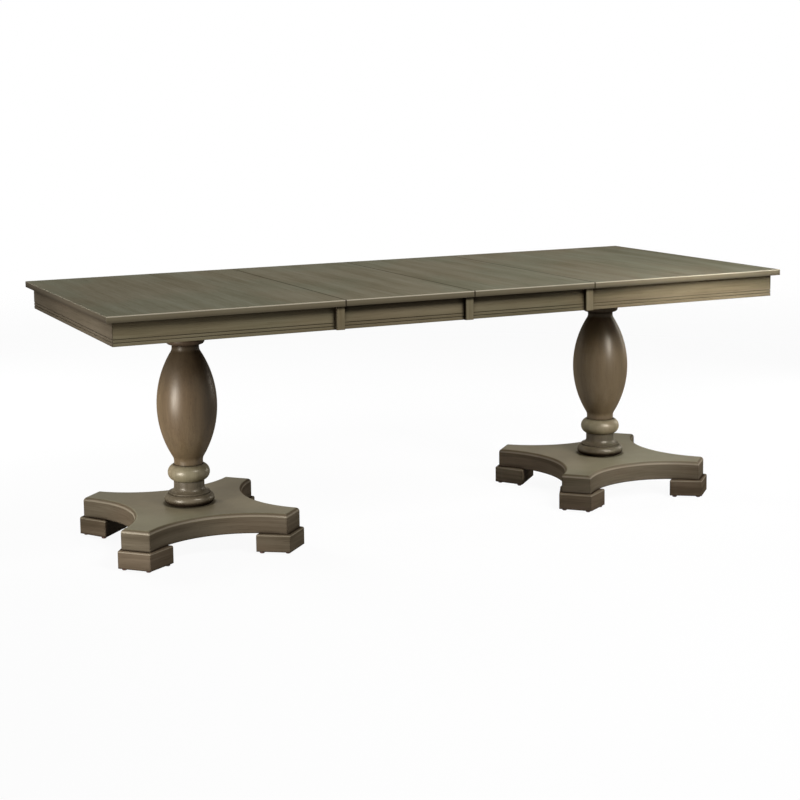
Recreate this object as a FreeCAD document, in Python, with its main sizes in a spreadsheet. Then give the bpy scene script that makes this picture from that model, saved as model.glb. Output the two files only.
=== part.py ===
"""Extending dining table on two turned pedestals, shown drawn out with two loose leaves.

Millimetres. X runs along the table (left is -X), Y across it (front is -Y) and Z up from the floor.
The origin is on the floor under the middle of the top.
"""
import FreeCAD, Part
import math
import os
import re
import Sketcher

Vector = FreeCAD.Vector
Rotation = FreeCAD.Rotation
UP = Vector(0, 0, 1)
ALONG = Vector(1, 0, 0)
SIDES = {"left": -1, "right": 1}
FACES = {"front": -1, "back": 1}
NEAR = 1e-4  # millimetres within which two places count as one
PRESSURE_ANGLE = math.radians(20)

doc = FreeCAD.newDocument("dining_table")

# Driving dimensions: name, millimetres (or a count), what it is
DRIVING = (
    ("half_length", "685.8", "length of one half of the top, seam to end"),
    ("leaf_length", "406.4", "length of one loose leaf, seam to seam"),
    ("table_width", "950", "width of the top"),
    ("top_thickness", "18", "thickness of the top panels"),
    ("leaf_relief", "0.3", "running gap between the leaves and the slides below them"),
    ("seam_gap", "0.4", "gap between neighbouring panels"),
    ("arris_radius", "1.6", "easing of the top's outer edges"),
    ("rail_height", "67", "height of the apron boards"),
    ("rail_thickness", "22", "thickness of the apron boards"),
    ("top_overhang", "21", "overhang of the top past the apron"),
    ("bead_width", "1.8", "width of each bead groove"),
    ("bead_depth", "1.6", "depth of each bead groove"),
    ("lower_bead_level", "9", "lower groove, above the apron's lower edge"),
    ("upper_bead_level", "18", "upper groove, above the apron's lower edge"),
    ("strip_width", "25", "width of the cover strips beside the seams"),
    ("strip_depth", "13", "how far a cover strip stands out from the apron"),
    ("strip_easing", "1.2", "chamfer on a cover strip's outer corners"),
    ("corner_block_leg", "70", "leg of the triangular corner blocks"),
    ("corner_block_height", "45", "height of the corner blocks"),
    ("glue_block_side", "20", "section of the glue blocks"),
    ("glue_block_length", "90", "length of the glue blocks"),
    ("pin_diameter", "10", "alignment pins in the meeting edges"),
    ("pin_length", "30", "length of an alignment pin, half of it proud"),
    ("pin_spacing", "300", "distance between the rows of pins"),
    ("pin_shift", "20", "shift of each half's pins off the common row"),
    ("pin_clearance", "0.2", "play round a pin in its socket"),
    ("slide_offset", "220", "middle of each slide set from the table's centre line"),
    ("slide_clearance", "0.3", "running gap above and below the centre runner and its tongues"),
    ("slide_side_gap", "0.5", "running gap between the faces of neighbouring runners"),
    ("centre_runner_width", "28", "width of the centre runner without its tongues"),
    ("centre_runner_lap", "24", "how far a centre runner reaches over each mounting board"),
    ("runner_height", "42", "height of the outer runners"),
    ("runner_wall", "11.5", "wood left behind the runner's groove"),
    ("runner_past_centre", "90", "how far a runner reaches past the table's middle"),
    ("runner_end_gap", "9", "gap between a runner and the end rail"),
    ("groove_height", "12", "height of the groove in the runners"),
    ("gear_module", "2", "tooth size of the pinions and racks"),
    ("gear_teeth", "26", "teeth on a pinion"),
    ("gear_side_gap", "1", "gap above and below a pinion in its mortise"),
    ("gear_backlash", "0.4", "play between the teeth"),
    ("rack_back", "2.5", "thickness of a rack behind its teeth"),
    ("rack_margin", "30", "length of rack past the mesh point of the closed table"),
    ("tongue_clearance", "2", "gap between the centre runner's tongue and the rack teeth"),
    ("mortise_margin", "2", "space round a pinion in its mortise"),
    ("axle_diameter", "8", "pinion axle"),
    ("axle_clearance", "0.05", "running fit of a pinion on its axle"),
    ("pedestal_inset", "366.2", "pedestal axis from the end of the top"),
    ("mounting_thickness", "22", "board that joins the pedestal to the runners"),
    ("mounting_length", "300", "length of that board along the table"),
    ("mounting_margin", "16", "width of that board past the runners"),
    ("mounting_easing", "6", "chamfer round the board's lower edge"),
    ("collar_bead_radius", "11", "round of the bead at the foot of the collar"),
    ("collar_bead_reach", "58", "radius of the collar at its bead"),
    ("collar_fillet_height", "4", "flat band above the collar's bead"),
    ("collar_cove", "24", "radius of the hollow under the collar's drum"),
    ("collar_drum_reach", "75", "radius of the collar's drum"),
    ("collar_drum_height", "31", "height of the collar's drum"),
    ("upper_neck_radius", "41", "upper neck of the vase"),
    ("upper_neck_length", "10", "straight part of the upper neck"),
    ("upper_neck_cove", "22", "hollow between the upper neck and the belly"),
    ("belly_reach", "90.5", "largest radius of the vase"),
    ("belly_curve", "305", "radius of the vase's profile"),
    ("lower_neck_radius", "43.5", "lower neck of the vase"),
    ("lower_neck_length", "11", "straight part of the lower neck"),
    ("lower_neck_cove", "25", "hollow between the lower neck and the belly"),
    ("ring_reach", "63.4", "largest radius of the ring"),
    ("ring_curve", "26", "radius of the ring's rounded edge"),
    ("ring_seat_radius", "45", "radius of the ring's flat faces"),
    ("spool_radius", "46", "neck of the column's base"),
    ("spool_height", "18", "straight part of that neck"),
    ("base_fillet_reach", "62", "radius of the flat band above the base bead"),
    ("base_fillet_height", "4.5", "height of that band"),
    ("base_bead_radius", "16", "round of the bead at the foot of the column"),
    ("base_bead_reach", "75.6", "largest radius of that bead"),
    ("base_thickness", "60", "thickness of the four-armed base"),
    ("base_rounding", "11", "rounding of the base's upper edge"),
    ("arm_reach", "341", "end of an arm from the column's axis"),
    ("arm_width", "95", "width of an arm at its end"),
    ("arm_corner_radius", "4", "rounding of the upright corners of an arm"),
    ("bay_distance", "185", "deepest point of the hollow between arms, from the axis"),
    ("foot_height", "52", "height of the foot blocks"),
    ("foot_projection", "11", "how far a foot stands past the end of its arm"),
    ("foot_length", "101.5", "length of a foot along its arm"),
    ("foot_outer_width", "105", "width of a foot at its outer end"),
    ("foot_inner_width", "148", "width of a foot at its inner end"),
    ("foot_corner_radius", "3", "rounding of the upright corners of a foot"),
    ("foot_rounding", "5", "rounding of a foot's upper edge"),
    ("glide_height", "6", "height of the glides under the feet"),
    ("glide_diameter", "15", "diameter of a glide"),
    ("glide_easing", "1.5", "chamfer round the bottom of a glide"),
    ("glide_inset", "14", "middle of a glide from the foot's sides"),
    ("nail_diameter", "3", "nail of a glide"),
    ("nail_length", "14", "length of that nail"),
    ("rod_diameter", "12", "threaded rod through the column"),
    ("rod_clearance", "0.5", "play round the rod in the turnings"),
    ("rod_end", "2", "rod showing past each nut"),
    ("nut_across_flats", "19", "nuts on the rod"),
    ("nut_height", "10", "height of a nut"),
    ("washer_diameter", "24", "washers under the nuts"),
    ("washer_thickness", "2.5", "thickness of a washer"),
    ("nut_pocket_margin", "3", "space round a washer in its pocket"),
    ("nut_pocket_cover", "3", "depth of a pocket past its nut"),
    ("screw_diameter", "5", "wood screws"),
    ("screw_length", "50", "length of a screw with its head"),
    ("screw_head_diameter", "10", "head of a screw"),
    ("screw_head_height", "4", "height of that head"),
    ("screw_pocket_clearance", "0.3", "play round a head in its pocket"),
    ("screw_cover", "6", "wood left above a screw that enters the top"),
    ("plate_screw_recess", "2", "depth of the heads in the mounting board"),
    ("plate_screw_setback", "30", "screws from the end of the mounting board"),
    ("runner_screw_setout", "40", "runner screws past the end of the mounting board"),
    ("foot_screw_bite", "21", "length of a foot screw in the base"),
    ("foot_screw_setback", "28", "outer foot screw from the end of its arm"),
    ("foot_screw_spacing", "36", "distance between the two screws of a foot"),
)

# Places and sizes that follow from the driving dimensions
DERIVED = (
    ("base_bottom", "glide_height + foot_height"),
    ("base_top", "base_bottom + base_thickness"),
    ("base_bead_seat", "base_bead_reach - base_bead_radius"),
    ("base_bead_top", "2 * base_bead_radius"),
    ("base_fillet_top", "base_bead_top + base_fillet_height"),
    ("base_cove", "base_fillet_reach - spool_radius"),
    ("base_cove_top", "base_fillet_top + base_cove"),
    ("column_base_height", "base_cove_top + spool_height"),
    ("ring_bottom", "base_top + column_base_height"),
    ("ring_height", "2 * sqrt(ring_curve ^ 2 - (ring_seat_radius - ring_reach + ring_curve) ^ 2)"),
    ("vase_bottom", "ring_bottom + ring_height"),
    ("belly_centre", "belly_curve - belly_reach"),
    ("lower_span", "belly_curve + lower_neck_cove"),
    ("lower_run", "lower_neck_radius + lower_neck_cove + belly_centre"),
    ("lower_rise", "sqrt(lower_span ^ 2 - lower_run ^ 2)"),
    ("upper_span", "belly_curve + upper_neck_cove"),
    ("upper_run", "upper_neck_radius + upper_neck_cove + belly_centre"),
    ("upper_rise", "sqrt(upper_span ^ 2 - upper_run ^ 2)"),
    ("belly_level", "lower_neck_length + lower_rise"),
    ("lower_join_reach", "lower_run * belly_curve / lower_span - belly_centre"),
    ("lower_join_level", "belly_level - lower_rise * belly_curve / lower_span"),
    ("upper_join_reach", "upper_run * belly_curve / upper_span - belly_centre"),
    ("upper_join_level", "belly_level + upper_rise * belly_curve / upper_span"),
    ("upper_neck_level", "belly_level + upper_rise"),
    ("vase_height", "upper_neck_level + upper_neck_length"),
    ("collar_bottom", "vase_bottom + vase_height"),
    ("collar_seat", "collar_bead_reach - collar_bead_radius"),
    ("collar_bead_top", "2 * collar_bead_radius"),
    ("collar_fillet_top", "collar_bead_top + collar_fillet_height"),
    ("collar_cove_reach", "collar_seat + collar_cove"),
    ("collar_cove_top", "collar_fillet_top + collar_cove"),
    ("collar_height", "collar_cove_top + collar_drum_height"),
    ("mounting_bottom", "collar_bottom + collar_height"),
    ("runner_bottom", "mounting_bottom + mounting_thickness"),
    ("top_bottom", "runner_bottom + runner_height"),
    ("table_height", "top_bottom + top_thickness"),
    ("leaf_bottom", "top_bottom + leaf_relief"),
    ("leaf_thickness", "top_thickness - leaf_relief"),
    ("rail_bottom", "top_bottom - rail_height"),
    ("leaf_rail_height", "rail_height + leaf_relief"),
    ("lower_bead_top", "lower_bead_level + bead_width"),
    ("upper_bead_top", "upper_bead_level + bead_width"),
    ("table_reach", "half_length + leaf_length"),
    ("apron_reach", "table_reach - top_overhang"),
    ("half_inner", "leaf_length + seam_gap / 2"),
    ("leaf_inner", "seam_gap / 2"),
    ("leaf_outer", "leaf_length - seam_gap / 2"),
    ("leaf_panel_length", "leaf_outer - leaf_inner"),
    ("half_rail_length", "apron_reach - half_inner"),
    ("half_rail_inset", "half_rail_length - rail_thickness"),
    ("table_half_width", "table_width / 2"),
    ("apron_half_width", "table_half_width - top_overhang"),
    ("end_rail_length", "2 * apron_half_width"),
    ("end_rail_inset", "end_rail_length - rail_thickness"),
    ("pedestal_x", "table_reach - pedestal_inset"),
    ("gear_pitch_radius", "gear_module * gear_teeth / 2"),
    ("gear_dedendum", "1.25 * gear_module"),
    ("gear_addendum", "0.95 * gear_module"),
    ("gear_thickness", "groove_height - 2 * gear_side_gap"),
    ("groove_face", "centre_runner_width / 2 + slide_side_gap"),
    ("groove_depth", "gear_pitch_radius + gear_dedendum + rack_back - groove_face"),
    ("groove_bottom", "(runner_height - groove_height) / 2"),
    ("groove_top", "groove_bottom + groove_height"),
    ("runner_width", "groove_depth + runner_wall"),
    ("runner_reach", "apron_reach - rail_thickness - runner_end_gap"),
    ("runner_length", "runner_reach + runner_past_centre"),
    ("screw_line", "groove_face + groove_depth + runner_wall / 2"),
    ("mounting_half_length", "mounting_length / 2"),
    ("centre_runner_length", "2 * (pedestal_x - mounting_half_length + centre_runner_lap)"),
    ("centre_half_width", "centre_runner_width / 2"),
    ("tongue_reach", "gear_pitch_radius - gear_module - tongue_clearance"),
    ("tongue_bottom", "groove_bottom + slide_clearance"),
    ("tongue_top", "groove_top - slide_clearance"),
    ("centre_top", "runner_height - slide_clearance"),
    ("mounting_half_width", "slide_offset + groove_face + runner_width + mounting_margin"),
    ("rod_hole_radius", "rod_diameter / 2 + rod_clearance"),
    ("pocket_radius", "washer_diameter / 2 + nut_pocket_margin"),
    ("pocket_depth", "washer_thickness + nut_height + nut_pocket_cover"),
    ("rod_bottom", "base_bottom + nut_pocket_cover - rod_end"),
    ("rod_top", "runner_bottom - nut_pocket_cover + rod_end"),
    ("arm_near", "(arm_reach - arm_width / 2) / sqrt(2)"),
    ("arm_far", "(arm_reach + arm_width / 2) / sqrt(2)"),
    ("bay_rise", "arm_far - bay_distance"),
    ("bay_radius", "(arm_near ^ 2 + bay_rise ^ 2) / (2 * bay_rise)"),
    ("foot_reach", "arm_reach + foot_projection"),
    ("foot_inner", "foot_reach - foot_length"),
    ("foot_outer_half", "foot_outer_width / 2"),
    ("foot_inner_half", "foot_inner_width / 2"),
)


def with_sheet_names(text, derived_prefix="places."):
    """Puts the sheet's name before each dimension's name in a formula."""
    def named(match):
        word = match.group(0)
        if word in driving_names:
            return "dims." + word
        return derived_prefix + word if word in derived_names else word
    return re.sub(r"[a-z][a-z0-9_]*", named, text)


driving_names = {name for name, _, _ in DRIVING}
derived_names = {name for name, _ in DERIVED}

dims = doc.addObject("Spreadsheet::Sheet", "dims")
for row, (name, value, meaning) in enumerate(DRIVING, start=1):
    dims.set("A%d" % row, name)
    dims.set("B%d" % row, value)
    dims.set("C%d" % row, meaning)
    dims.setAlias("B%d" % row, name)

places = doc.addObject("Spreadsheet::Sheet", "places")
for row, (name, formula) in enumerate(DERIVED, start=1):
    places.set("A%d" % row, name)
    places.set("B%d" % row, "=" + with_sheet_names(formula, ""))
    places.setAlias("B%d" % row, name)
doc.recompute()


def size(name):
    """The present value of a driving or derived dimension."""
    return float(getattr(dims if name in driving_names else places, name))


def bind(thing, **formulas):
    """Binds properties to formulas; a double underscore in a property's name stands for a dot."""
    for prop, text in formulas.items():
        thing.setExpression(prop.replace("__", "."), with_sheet_names(text))
    return thing


def place(thing, x="0", y="0", z="0", turn=0):
    """Turns a thing about Z, in degrees, and binds where it stands."""
    thing.Placement = FreeCAD.Placement(Vector(0, 0, 0), Rotation(UP, turn))
    return bind(thing, Placement__Base__x=x, Placement__Base__y=y, Placement__Base__z=z)


nodes = []


def node(name, thing):
    """Labels a finished piece as one of the table's sub-parts."""
    thing.Label = name
    nodes.append(thing)
    return thing


# Sketches and bodies


def new_sketch(body, role):
    """A sketch on one of the body's own origin planes."""
    plane = next(p for p in body.Origin.OriginFeatures if p.Role == role)
    sketch = body.newObject("Sketcher::SketchObject", body.Name + "_sketch")
    sketch.AttachmentSupport = [(plane, "")]
    sketch.MapMode = "FlatFace"
    return sketch


def signed_size(name):
    """A coordinate given as 0, a dimension's name, or such a name after a minus sign."""
    if name == "0":
        return 0.0
    return -size(name[1:]) if name.startswith("-") else size(name)


def pin_down(sketch, piece, end, x_name, y_name):
    """Fixes one end of a line or arc at a place given by two dimensions."""
    for kind, name, axis in (("DistanceX", x_name, -2), ("DistanceY", y_name, -1)):
        if name == "0":
            sketch.addConstraint(Sketcher.Constraint("PointOnObject", piece, end, axis))
            continue
        value = abs(signed_size(name))
        if name.startswith("-"):
            rule = Sketcher.Constraint(kind, piece, end, -1, 1, value)
        else:
            rule = Sketcher.Constraint(kind, -1, 1, piece, end, value)
        index = sketch.addConstraint(rule)
        sketch.setExpression("Constraints[%d]" % index, with_sheet_names(name.lstrip("-")))


def draw(sketch, corners, arcs=()):
    """Draws a closed outline through named corners.

    arcs maps a corner's number to (radius name, side): the stretch that leaves that corner is an arc
    whose centre lies to the left (1) or right (-1) of the way to the next corner.
    """
    arcs = dict(arcs)
    spots = [Vector(signed_size(x), signed_size(y), 0) for x, y in corners]
    starts, ends = [], []
    for i, begin in enumerate(spots):
        finish = spots[(i + 1) % len(spots)]
        if i in arcs:
            radius_name, side = arcs[i]
            radius = size(radius_name)
            chord = finish - begin
            left = Vector(-chord.y, chord.x, 0).normalize()
            rise = math.sqrt(max(radius ** 2 - (chord.Length / 2) ** 2, 0))
            centre = (begin + finish) / 2 + left * (rise * side)
            first, last = (begin, finish) if side > 0 else (finish, begin)
            angles = [math.atan2(p.y - centre.y, p.x - centre.x) for p in (first, last)]
            circle = Part.Circle(centre, UP, radius)
            piece = sketch.addGeometry(Part.ArcOfCircle(circle, *angles))
            rule = sketch.addConstraint(Sketcher.Constraint("Radius", piece, radius))
            sketch.setExpression("Constraints[%d]" % rule, with_sheet_names(radius_name))
            starts.append((piece, 1 if side > 0 else 2))
            ends.append((piece, 2 if side > 0 else 1))
        else:
            piece = sketch.addGeometry(Part.LineSegment(begin, finish))
            starts.append((piece, 1))
            ends.append((piece, 2))
    for i, (x_name, y_name) in enumerate(corners):
        sketch.addConstraint(Sketcher.Constraint("Coincident", *ends[i - 1], *starts[i]))
        pin_down(sketch, *starts[i], x_name, y_name)


def padded_body(name, role, corners, length, arcs=()):
    """A body padded from one outline on an origin plane."""
    body = doc.addObject("PartDesign::Body", name)
    sketch = new_sketch(body, role)
    draw(sketch, corners, arcs)
    pad = body.newObject("PartDesign::Pad", name + "_pad")
    pad.Profile = sketch
    bind(pad, Length=length)
    doc.recompute()
    return body


def pocket_through(body, corners):
    """Cuts an outline on the body's XY plane upwards through the whole body."""
    before = body.Shape.Volume
    sketch = new_sketch(body, "XY_Plane")
    draw(sketch, corners)
    pocket = body.newObject("PartDesign::Pocket", body.Name + "_pocket")
    pocket.Profile = sketch
    pocket.Type = "ThroughAll"
    pocket.Reversed = True
    doc.recompute()
    if body.Shape.Volume >= before:
        raise RuntimeError("a pocket in %s cut nothing" % body.Name)


def ease_edges(body, kind, amount, picked):
    """Rounds (Fillet) or bevels (Chamfer) the edges of a body that the test picks by their middle."""
    base = body.Tip
    names = []
    for number, edge in enumerate(base.Shape.Edges, start=1):
        middle = edge.valueAt((edge.FirstParameter + edge.LastParameter) / 2)
        if picked(middle):
            names.append("Edge%d" % number)
    dressing = body.newObject("PartDesign::" + kind, body.Name + "_easing")
    dressing.Base = (base, names)
    bind(dressing, **{"Radius" if kind == "Fillet" else "Size": amount})
    doc.recompute()


def turned_body(name, corners, arcs=()):
    """A turning: an outline of radius and height, revolved about Z."""
    body = doc.addObject("PartDesign::Body", name)
    sketch = new_sketch(body, "XZ_Plane")
    draw(sketch, corners, arcs)
    turning = body.newObject("PartDesign::Revolution", name + "_turning")
    turning.Profile = sketch
    turning.ReferenceAxis = (sketch, ["V_Axis"])
    turning.Angle = 360
    doc.recompute()
    return body


# Primitives and groups


def block(name, length, width, height, x="0", y="0", z="0"):
    """A box with bound sides, its lowest corner at a bound place."""
    return place(bind(doc.addObject("Part::Box", name), Length=length, Width=width, Height=height), x, y, z)


def cylinder(name, radius, height, x="0", y="0", z="0"):
    """An upright cylinder with bound sizes and place."""
    return place(bind(doc.addObject("Part::Cylinder", name), Radius=radius, Height=height), x, y, z)


def group(name, things):
    """Several separate solids as one thing."""
    compound = doc.addObject("Part::Compound", name)
    compound.Links = things
    return compound


def joined(name, things):
    """Overlapping solids made into one."""
    fusion = doc.addObject("Part::MultiFuse", name)
    fusion.Shapes = things
    return fusion


def cut(name, base, tool):
    """A piece with a tool's shape taken out of it."""
    result = doc.addObject("Part::Cut", name)
    result.Base = base
    result.Tool = tool
    return result


def shaped(name, shapes):
    """Fixed shapes, worked out from the sheet's values, as one thing."""
    feature = doc.addObject("Part::Feature", name)
    feature.Shape = Part.makeCompound(shapes)
    return feature


def upright(radius, x, y, low, high):
    return Part.makeCylinder(radius, high - low, Vector(x, y, low), UP)


# Fasteners at listed places, and the holes that take them


def screw(x, y, level):
    """A wood screw standing head down, the head's lower face at a level."""
    neck = level + size("screw_head_height")
    head = upright(size("screw_head_diameter") / 2, x, y, level, neck)
    shank = upright(size("screw_diameter") / 2, x, y, neck, level + size("screw_length"))
    return head.fuse(shank).removeSplitter()


def screw_hole(x, y, level, face):
    """The hole for that screw, with a pocket for the head from the face that it enters."""
    neck = level + size("screw_head_height")
    pocket_radius = size("screw_head_diameter") / 2 + size("screw_pocket_clearance")
    pocket = upright(pocket_radius, x, y, min(face, level), neck)
    shank = upright(size("screw_diameter") / 2, x, y, neck, level + size("screw_length"))
    return pocket.fuse(shank).removeSplitter()


def pin_bore(x, y, level, radius, length):
    return Part.makeCylinder(radius, length, Vector(x, y, level), ALONG)


# Pieces of the top


def panel(name, x_low, x_high, bottom, thickness, outer_x=None):
    """A top panel between two named X places, with its outer edges eased."""
    corners = [(x_low, "-table_half_width"), (x_high, "-table_half_width"),
               (x_high, "table_half_width"), (x_low, "table_half_width")]
    body = padded_body(name, "XY_Plane", corners, thickness)
    top, side = size(thickness), size("table_half_width")

    def outer(middle):
        on_side = abs(abs(middle.y) - side) < NEAR
        on_end = outer_x is not None and abs(middle.x - signed_size(outer_x)) < NEAR
        on_top = abs(middle.z - top) < NEAR
        return (on_top and (on_side or on_end)) or (on_side and on_end)
    ease_edges(body, "Fillet", "arris_radius", outer)
    return place(body, z=bottom)


def rail(name, length, height, mitred_start=False, mitred_end=False, inset=None):
    """An apron board along X from 0 to its length, its outer face on Y = 0 and its inside towards +Y."""
    corners = [("0", "0"), ("rail_thickness", "0"), ("rail_thickness", height), ("0", height)]
    for bead in ("upper_bead", "lower_bead"):
        corners += [("0", bead + "_top"), ("bead_depth", bead + "_top"),
                    ("bead_depth", bead + "_level"), ("0", bead + "_level")]
    body = padded_body(name, "YZ_Plane", corners, length)
    if mitred_start:
        pocket_through(body, [("0", "0"), ("rail_thickness", "rail_thickness"), ("0", "rail_thickness")])
    if mitred_end:
        pocket_through(body, [(length, "0"), (length, "rail_thickness"), (inset, "rail_thickness")])
    return body


def joint_strips(name, x_right, height):
    """The two cover strips of a section, flush with the seam at its right."""
    strips = []
    for face in FACES:
        corners = [("0", "0"), ("strip_width", "0"), ("strip_width", "strip_depth"), ("0", "strip_depth")]
        strip = padded_body("%s_%s" % (name, face), "XY_Plane", corners, height)
        outer = 0 if face == "front" else size("strip_depth")
        half = size(height) / 2
        ease_edges(strip, "Chamfer", "strip_easing",
                   lambda middle: abs(middle.z - half) < NEAR and abs(middle.y - outer) < NEAR)
        y = "-apron_half_width - strip_depth" if face == "front" else "apron_half_width"
        strips.append(place(strip, x_right + " - strip_width", y, "rail_bottom"))
    return group(name, strips)


def glue_blocks(name, x_start, x_end, level):
    """Two blocks behind each long apron board of a section, a third of the way in from its ends."""
    blocks = []
    for face, sign in FACES.items():
        for share in (1, 2):
            x = "%s + (%s - (%s)) * %d / 3 - glue_block_length / 2" % (x_start, x_end, x_start, share)
            y = ("-apron_half_width + rail_thickness" if sign < 0
                 else "apron_half_width - rail_thickness - glue_block_side")
            blocks.append(block("%s_%s_%d" % (name, face, share), "glue_block_length", "glue_block_side",
                                "glue_block_side", x, y, level + " - glue_block_side"))
    return group(name, blocks)


def pin_rows(side):
    """Where a half's alignment pins stand across the table."""
    return [row * size("pin_spacing") + SIDES[side] * size("pin_shift") for row in (-1, 0, 1)]


def pin_level():
    return (size("top_bottom") + size("table_height")) / 2


def half_pin_holes(side):
    """Holes for a half's own pins, and sockets for the other half's pins when the table is closed."""
    sign = SIDES[side]
    edge = sign * size("half_inner")
    own_radius = size("pin_diameter") / 2
    depth = size("pin_length") / 2
    other = "right" if side == "left" else "left"
    bores = []
    for rows, radius, length in ((pin_rows(side), own_radius, depth),
                                 (pin_rows(other), own_radius + size("pin_clearance"),
                                  depth + size("pin_diameter") / 2)):
        start = edge if sign > 0 else edge - length
        bores += [pin_bore(start, y, pin_level(), radius, length) for y in rows]
    return shaped(side + "_pin_holes", bores)


def leaf_pin_slots(leaf, side):
    """Slots in a leaf's edge for the pins of the half beside it, open below so that the leaf lifts off."""
    sign = SIDES[side]
    radius = size("pin_diameter") / 2 + size("pin_clearance")
    length = size("pin_length") / 2 + size("pin_diameter") / 2
    outer = sign * size("leaf_outer")
    start = outer - length if sign > 0 else outer
    slots = []
    for y in pin_rows(side):
        low = size("leaf_bottom")
        mouth = Part.makeBox(length, 2 * radius, pin_level() - low, Vector(start, y - radius, low))
        slots.append(mouth.fuse(pin_bore(start, y, pin_level(), radius, length)).removeSplitter())
    return shaped(leaf + "_pin_slots", slots)


def alignment_pins(side):
    pins = []
    for row in (-1, 0, 1):
        pin = bind(doc.addObject("Part::Cylinder", side + "_pin"), Radius="pin_diameter / 2", Height="pin_length")
        pin.Placement = FreeCAD.Placement(Vector(0, 0, 0), Rotation(Vector(0, 1, 0), 90))
        bind(pin, Placement__Base__x="%d * half_inner - pin_length / 2" % SIDES[side],
             Placement__Base__y="%d * pin_spacing + %d * pin_shift" % (row, SIDES[side]),
             Placement__Base__z="(top_bottom + table_height) / 2")
        pins.append(pin)
    return group(side + "_pins", pins)


# Slides


def lane(side):
    """1 where a half's runners lie outside the centre runners, -1 where they lie inside them."""
    return 1 if side == "left" else -1


def runner(side, face):
    """A grooved runner, its groove turned towards the centre runner."""
    name = "%s_%s_runner_blank" % (side, face)
    corners = [("0", "0"), ("runner_width", "0"), ("runner_width", "runner_height"), ("0", "runner_height"),
               ("0", "groove_top"), ("groove_depth", "groove_top"),
               ("groove_depth", "groove_bottom"), ("0", "groove_bottom")]
    body = padded_body(name, "YZ_Plane", corners, "runner_length")
    outward = FACES[face] * lane(side)
    if side == "left":
        low, high = "-runner_reach", "runner_past_centre"
    else:
        low, high = "-runner_past_centre", "runner_reach"
    y = "%d * slide_offset + %d * groove_face" % (FACES[face], outward)
    return place(body, low if outward > 0 else high, y, "runner_bottom", 0 if outward > 0 else 180)


def rack_shape(side, face):
    """A toothed bar at the bottom of a runner's groove, in mesh with the pinion at the table's middle."""
    module, teeth = size("gear_module"), round(size("gear_teeth"))
    pitch = math.pi * module
    slope = math.tan(PRESSURE_ANGLE)
    half_tooth = (pitch / 2 - size("gear_backlash")) / 2
    tip, root = -module, size("gear_dedendum")
    back = root + size("rack_back")
    outward = FACES[face] * lane(side)
    inner_end = size("runner_past_centre")
    outer_end = size("leaf_length") + size("rack_margin")
    low, high = (-outer_end, inner_end) if side == "left" else (-inner_end, outer_end)
    wide = half_tooth + root * slope
    narrow = half_tooth + tip * slope
    # The pinion has a tooth at its back; on the other side it has a tooth or a gap, by its count
    phase = 0 if outward > 0 or teeth % 2 == 0 else 0.5
    first = math.ceil((low + wide) / pitch - 0.5 - phase)
    last = math.floor((high - wide) / pitch - 0.5 - phase)
    profile = [(low, back), (low, root)]
    for number in range(first, last + 1):
        middle = (number + 0.5 + phase) * pitch
        profile += [(middle - wide, root), (middle - narrow, tip), (middle + narrow, tip), (middle + wide, root)]
    profile += [(high, root), (high, back)]
    y_pitch = FACES[face] * size("slide_offset") + outward * size("gear_pitch_radius")
    z = size("runner_bottom") + size("groove_bottom")
    corners = [Vector(x, y_pitch + outward * y, z) for x, y in profile]
    outline = Part.makePolygon(corners + corners[:1])
    return Part.Face(outline).extrude(Vector(0, 0, size("groove_height")))


def pinion_shape(face):
    """A spur gear with involute flanks, one tooth pointing to the back."""
    teeth = round(size("gear_teeth"))
    pitch_radius = size("gear_pitch_radius")
    base_radius = pitch_radius * math.cos(PRESSURE_ANGLE)
    root_radius = pitch_radius - size("gear_dedendum")
    tip_radius = pitch_radius + size("gear_addendum")
    flank_steps = 6

    def roll(radius):
        angle = math.acos(min(base_radius / radius, 1))
        return math.tan(angle) - angle
    half_at_pitch = math.pi / 2 / teeth - size("gear_backlash") / 2 / pitch_radius
    flank_start = max(base_radius, root_radius)
    radii = [flank_start + (tip_radius - flank_start) * step / flank_steps for step in range(flank_steps + 1)]
    flank = [(root_radius, half_at_pitch + roll(pitch_radius))]
    flank += [(radius, half_at_pitch + roll(pitch_radius) - roll(radius)) for radius in radii]
    y_middle = FACES[face] * size("slide_offset")
    z = size("runner_bottom") + size("groove_bottom") + size("gear_side_gap")
    corners = []
    for tooth in range(teeth):
        middle = math.pi / 2 + 2 * math.pi * tooth / teeth
        for radius, half in flank:
            corners.append(Vector(radius * math.cos(middle - half), y_middle + radius * math.sin(middle - half), z))
        for radius, half in reversed(flank):
            corners.append(Vector(radius * math.cos(middle + half), y_middle + radius * math.sin(middle + half), z))
    blank = Part.Face(Part.makePolygon(corners + corners[:1])).extrude(Vector(0, 0, size("gear_thickness")))
    bore_radius = size("axle_diameter") / 2 + size("axle_clearance")
    return blank.cut(upright(bore_radius, 0, y_middle, z, z + size("gear_thickness")))


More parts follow.
